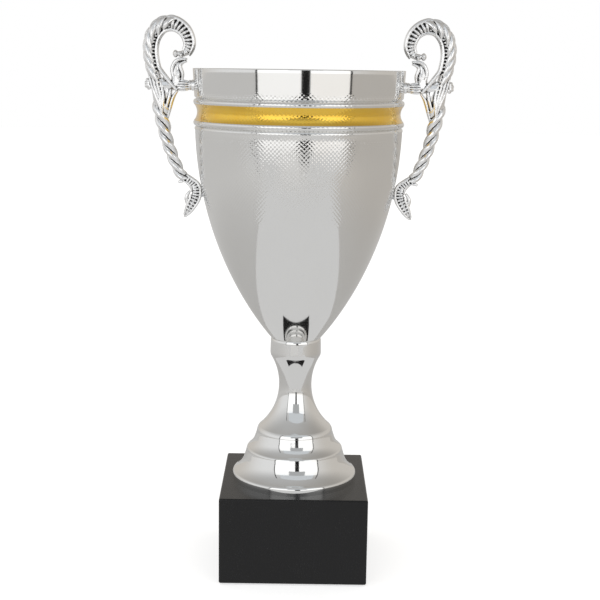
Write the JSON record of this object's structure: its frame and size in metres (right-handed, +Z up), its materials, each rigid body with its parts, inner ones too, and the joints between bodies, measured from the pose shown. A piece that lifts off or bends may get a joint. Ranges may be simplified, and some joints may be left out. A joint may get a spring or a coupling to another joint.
{
  "type": "cup trophy",
  "caption": "Two-handled silver presentation cup with a gold band, on a stepped foot and a square black marble block.",
  "frame": {"origin": "centre of the underside, on the plane that the felt pads rest on", "axes": "+Z up the cup's axis, the front faces -Y, the handles lie along X with left_handle on -X"},
  "size_m": [0.2084, 0.1414, 0.3781],
  "materials": {
    "silver_plate": "polished silver plate on spun metal, finely hammered round the bowl's upper half",
    "cast_silver": "bright silver plate on cast zinc, darker in its recesses",
    "gold_lacquer": "satin gold finish over the hammered sheet",
    "black_marble": "honed black marble with a fine pale speckle",
    "zinc_steel": "bright zinc plate",
    "black_felt": "thin self-adhesive felt"
  },
  "bodies": {
    "root": {"base_lock_washer": "zinc_steel", "base_nut": "zinc_steel", "base_pad_1": "black_felt", "base_pad_2": "black_felt", "base_pad_3": "black_felt", "base_pad_4": "black_felt", "base_washer": "zinc_steel", "bowl": "silver_plate", "bowl_lock_washer": "zinc_steel", "bowl_nut": "zinc_steel", "bowl_washer": "zinc_steel", "collar": "silver_plate", "foot": "silver_plate", "gold_band": "gold_lacquer", "left_handle": "cast_silver", "left_lower_screw": "zinc_steel", "left_lower_washer": "zinc_steel", "left_upper_screw": "zinc_steel", "left_upper_washer": "zinc_steel", "marble_base": "black_marble", "right_handle": "cast_silver", "right_lower_screw": "zinc_steel", "right_lower_washer": "zinc_steel", "right_upper_screw": "zinc_steel", "right_upper_washer": "zinc_steel", "stem": "silver_plate", "tie_rod": "zinc_steel"}
  },
  "joints": []
}
